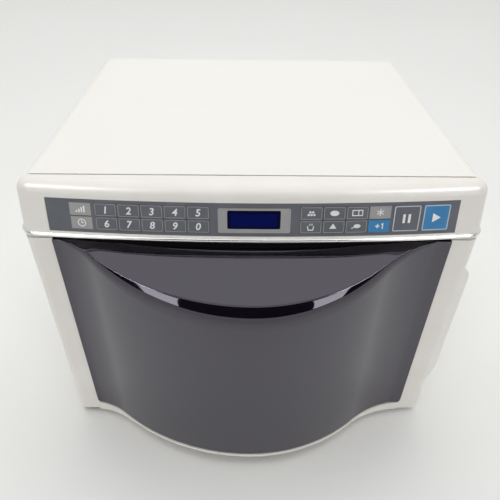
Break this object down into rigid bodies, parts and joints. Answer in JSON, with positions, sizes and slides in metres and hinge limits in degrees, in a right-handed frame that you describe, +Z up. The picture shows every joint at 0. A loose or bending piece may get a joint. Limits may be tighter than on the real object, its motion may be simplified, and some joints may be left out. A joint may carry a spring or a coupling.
{
  "type": "countertop microwave oven",
  "caption": "White countertop microwave oven with a smoked, bellied side-hinged door, finger scoop and bowed control strip of soft keys above it; turntable and works inside.",
  "frame": {"origin": "middle of the footprint on the table, under the centre of the bounding box", "axes": "+X to the right seen from the front, +Y from the door to the back, +Z up"},
  "size_m": [0.4159, 0.4076, 0.312],
  "materials": {
    "bare_steel": "satin",
    "black_plastic": "satin",
    "board_green": "satin",
    "can_aluminium": "satin",
    "core_steel": "matte",
    "display_navy": "gloss",
    "grey_liner": "satin",
    "grey_zinc": "satin",
    "ivory_plastic": "satin",
    "key_blue": "satin",
    "key_light": "satin",
    "lamp_parts": "satin",
    "mica": "matte",
    "oven_enamel": "satin",
    "panel_smoked": "gloss",
    "rubber": "matte",
    "strip_grey": "satin",
    "tray_glass": "gloss",
    "trim_bright": "gloss",
    "white_paint": "gloss",
    "white_plastic": "gloss"
  },
  "bodies": {
    "cabinet": {"outer_cover": "white_paint", "back_panel": "grey_zinc", "base_plate": "grey_zinc", "rubber_feet": "rubber", "oven_cavity": "oven_enamel", "front_plate": "oven_enamel", "feed_duct": "grey_zinc", "feed_cover": "mica", "magnetron": "can_aluminium", "hv_transformer": "core_steel", "hv_capacitor": "can_aluminium", "fan_motor": "core_steel", "fan_shroud": "black_plastic", "oven_lamp": "lamp_parts", "turntable_motor": "bare_steel", "control_fascia": "white_plastic", "fascia_trim": "trim_bright", "keypad_overlay": "strip_grey", "display_window": "display_navy", "control_board": "board_green", "latch_board": "ivory_plastic", "hinge_brackets": "bare_steel", "cord_gland": "black_plastic", "case_screws": "bare_steel"},
    "door": {"door_frame": "white_plastic", "door_panel": "panel_smoked", "door_choke": "bare_steel", "door_screen": "core_steel", "choke_cover": "grey_liner", "latch_spring": "bare_steel"},
    "latch": {"latch_key": "ivory_plastic"},
    "turntable": {"drive_coupler": "ivory_plastic", "glass_tray": "tray_glass"},
    "ring": {"roller_ring": "ivory_plastic"},
    "wheel_1": {"roller_1": "ivory_plastic"},
    "wheel_2": {"roller_2": "ivory_plastic"},
    "wheel_3": {"roller_3": "ivory_plastic"},
    "fan": {"fan_blade": "ivory_plastic"},
    "key_1": {"key_1": "strip_grey"},
    "key_2": {"key_2": "strip_grey"},
    "key_3": {"key_3": "strip_grey"},
    "key_4": {"key_4": "strip_grey"},
    "key_5": {"key_5": "strip_grey"},
    "key_6": {"key_6": "strip_grey"},
    "key_7": {"key_7": "strip_grey"},
    "key_8": {"key_8": "strip_grey"},
    "key_9": {"key_9": "strip_grey"},
    "key_0": {"key_0": "strip_grey"},
    "key_level": {"key_level": "key_light"},
    "key_clock": {"key_clock": "key_light"},
    "key_menu_1": {"key_menu_1": "strip_grey"},
    "key_menu_2": {"key_menu_2": "strip_grey"},
    "key_menu_3": {"key_menu_3": "strip_grey"},
    "key_thaw": {"key_thaw": "key_light"},
    "key_menu_4": {"key_menu_4": "strip_grey"},
    "key_menu_5": {"key_menu_5": "strip_grey"},
    "key_menu_6": {"key_menu_6": "strip_grey"},
    "key_minute": {"key_minute": "key_blue"},
    "key_pause": {"key_pause": "strip_grey"},
    "key_start": {"key_start": "key_blue"}
  },
  "joints": [
    {"name": "door_hinge", "type": "hinge", "parent": "cabinet", "child": "door", "pos_m": [-0.19695, -0.1272, 0.132], "axis": [0, 0, -1], "range_deg": [0, 110]},
    {"name": "latch_slide", "type": "slide", "parent": "door", "child": "latch", "axis": [0, 0, 1], "range_m": [0, 0.004], "stiffness_N_per_m": 400, "springref_m": -0.004, "deforming": ["latch_spring"]},
    {"name": "tray_spin", "type": "hinge", "parent": "cabinet", "child": "turntable", "pos_m": [-0.02945, 0.0265, 0.044], "axis": [0, 0, 1], "continuous": true},
    {"name": "ring_spin", "type": "hinge", "parent": "cabinet", "child": "ring", "pos_m": [-0.02945, 0.0265, 0.044], "axis": [0, 0, 1], "continuous": true},
    {"name": "fan_spin", "type": "hinge", "parent": "cabinet", "child": "fan", "pos_m": [0.15155, 0.1828, 0.102], "axis": [0, 1, 0], "continuous": true},
    {"name": "wheel_1_spin", "type": "hinge", "parent": "ring", "child": "wheel_1", "pos_m": [0.07105, 0.0265, 0.044], "axis": [1, 0, 0], "continuous": true},
    {"name": "wheel_2_spin", "type": "hinge", "parent": "ring", "child": "wheel_2", "pos_m": [-0.0797, 0.11354, 0.044], "axis": [-0.5, 0.866, 0], "continuous": true},
    {"name": "wheel_3_spin", "type": "hinge", "parent": "ring", "child": "wheel_3", "pos_m": [-0.0797, -0.06054, 0.044], "axis": [-0.5, -0.866, 0], "continuous": true},
    {"name": "key_1_press", "type": "slide", "parent": "cabinet", "child": "key_1", "axis": [0.0609, 0.9751, -0.213], "range_m": [0, 0.0005], "stiffness_N_per_m": 2500, "springref_m": -0.0002},
    {"name": "key_2_press", "type": "slide", "parent": "cabinet", "child": "key_2", "axis": [0.0514, 0.9757, -0.213], "range_m": [0, 0.0005], "stiffness_N_per_m": 2500, "springref_m": -0.0002},
    {"name": "key_3_press", "type": "slide", "parent": "cabinet", "child": "key_3", "axis": [0.0419, 0.9761, -0.213], "range_m": [0, 0.0005], "stiffness_N_per_m": 2500, "springref_m": -0.0002},
    {"name": "key_4_press", "type": "slide", "parent": "cabinet", "child": "key_4", "axis": [0.0323, 0.9765, -0.213], "range_m": [0, 0.0005], "stiffness_N_per_m": 2500, "springref_m": -0.0002},
    {"name": "key_5_press", "type": "slide", "parent": "cabinet", "child": "key_5", "axis": [0.0228, 0.9768, -0.213], "range_m": [0, 0.0005], "stiffness_N_per_m": 2500, "springref_m": -0.0002},
    {"name": "key_6_press", "type": "slide", "parent": "cabinet", "child": "key_6", "axis": [0.0609, 0.9751, -0.213], "range_m": [0, 0.0005], "stiffness_N_per_m": 2500, "springref_m": -0.0002},
    {"name": "key_7_press", "type": "slide", "parent": "cabinet", "child": "key_7", "axis": [0.0514, 0.9757, -0.213], "range_m": [0, 0.0005], "stiffness_N_per_m": 2500, "springref_m": -0.0002},
    {"name": "key_8_press", "type": "slide", "parent": "cabinet", "child": "key_8", "axis": [0.0419, 0.9761, -0.213], "range_m": [0, 0.0005], "stiffness_N_per_m": 2500, "springref_m": -0.0002},
    {"name": "key_9_press", "type": "slide", "parent": "cabinet", "child": "key_9", "axis": [0.0323, 0.9765, -0.213], "range_m": [0, 0.0005], "stiffness_N_per_m": 2500, "springref_m": -0.0002},
    {"name": "key_0_press", "type": "slide", "parent": "cabinet", "child": "key_0", "axis": [0.0228, 0.9768, -0.213], "range_m": [0, 0.0005], "stiffness_N_per_m": 2500, "springref_m": -0.0002},
    {"name": "key_level_press", "type": "slide", "parent": "cabinet", "child": "key_level", "axis": [0.0714, 0.9744, -0.213], "range_m": [0, 0.0005], "stiffness_N_per_m": 2500, "springref_m": -0.0002},
    {"name": "key_clock_press", "type": "slide", "parent": "cabinet", "child": "key_clock", "axis": [0.0714, 0.9744, -0.213], "range_m": [0, 0.0005], "stiffness_N_per_m": 2500, "springref_m": -0.0002},
    {"name": "key_menu_1_press", "type": "slide", "parent": "cabinet", "child": "key_menu_1", "axis": [-0.0237, 0.9768, -0.213], "range_m": [0, 0.0005], "stiffness_N_per_m": 2500, "springref_m": -0.0002},
    {"name": "key_menu_2_press", "type": "slide", "parent": "cabinet", "child": "key_menu_2", "axis": [-0.0332, 0.9765, -0.213], "range_m": [0, 0.0005], "stiffness_N_per_m": 2500, "springref_m": -0.0002},
    {"name": "key_menu_3_press", "type": "slide", "parent": "cabinet", "child": "key_menu_3", "axis": [-0.0428, 0.9761, -0.213], "range_m": [0, 0.0005], "stiffness_N_per_m": 2500, "springref_m": -0.0002},
    {"name": "key_thaw_press", "type": "slide", "parent": "cabinet", "child": "key_thaw", "axis": [-0.0523, 0.9756, -0.213], "range_m": [0, 0.0005], "stiffness_N_per_m": 2500, "springref_m": -0.0002},
    {"name": "key_menu_4_press", "type": "slide", "parent": "cabinet", "child": "key_menu_4", "axis": [-0.0237, 0.9768, -0.213], "range_m": [0, 0.0005], "stiffness_N_per_m": 2500, "springref_m": -0.0002},
    {"name": "key_menu_5_press", "type": "slide", "parent": "cabinet", "child": "key_menu_5", "axis": [-0.0332, 0.9765, -0.213], "range_m": [0, 0.0005], "stiffness_N_per_m": 2500, "springref_m": -0.0002},
    {"name": "key_menu_6_press", "type": "slide", "parent": "cabinet", "child": "key_menu_6", "axis": [-0.0428, 0.9761, -0.213], "range_m": [0, 0.0005], "stiffness_N_per_m": 2500, "springref_m": -0.0002},
    {"name": "key_minute_press", "type": "slide", "parent": "cabinet", "child": "key_minute", "axis": [-0.0523, 0.9756, -0.213], "range_m": [0, 0.0005], "stiffness_N_per_m": 2500, "springref_m": -0.0002},
    {"name": "key_pause_press", "type": "slide", "parent": "cabinet", "child": "key_pause", "axis": [-0.0637, 0.975, -0.213], "range_m": [0, 0.0005], "stiffness_N_per_m": 2500, "springref_m": -0.0002},
    {"name": "key_start_press", "type": "slide", "parent": "cabinet", "child": "key_start", "axis": [-0.0764, 0.9741, -0.213], "range_m": [0, 0.0005], "stiffness_N_per_m": 2500, "springref_m": -0.0002}
  ],
  "couplings": [
    {"joint": "ring_spin", "follows": "tray_spin", "ratio": 0.5},
    {"joint": "wheel_1_spin", "follows": "tray_spin", "ratio": -6.4423},
    {"joint": "wheel_2_spin", "follows": "tray_spin", "ratio": -6.4423},
    {"joint": "wheel_3_spin", "follows": "tray_spin", "ratio": -6.4423}
  ]
}
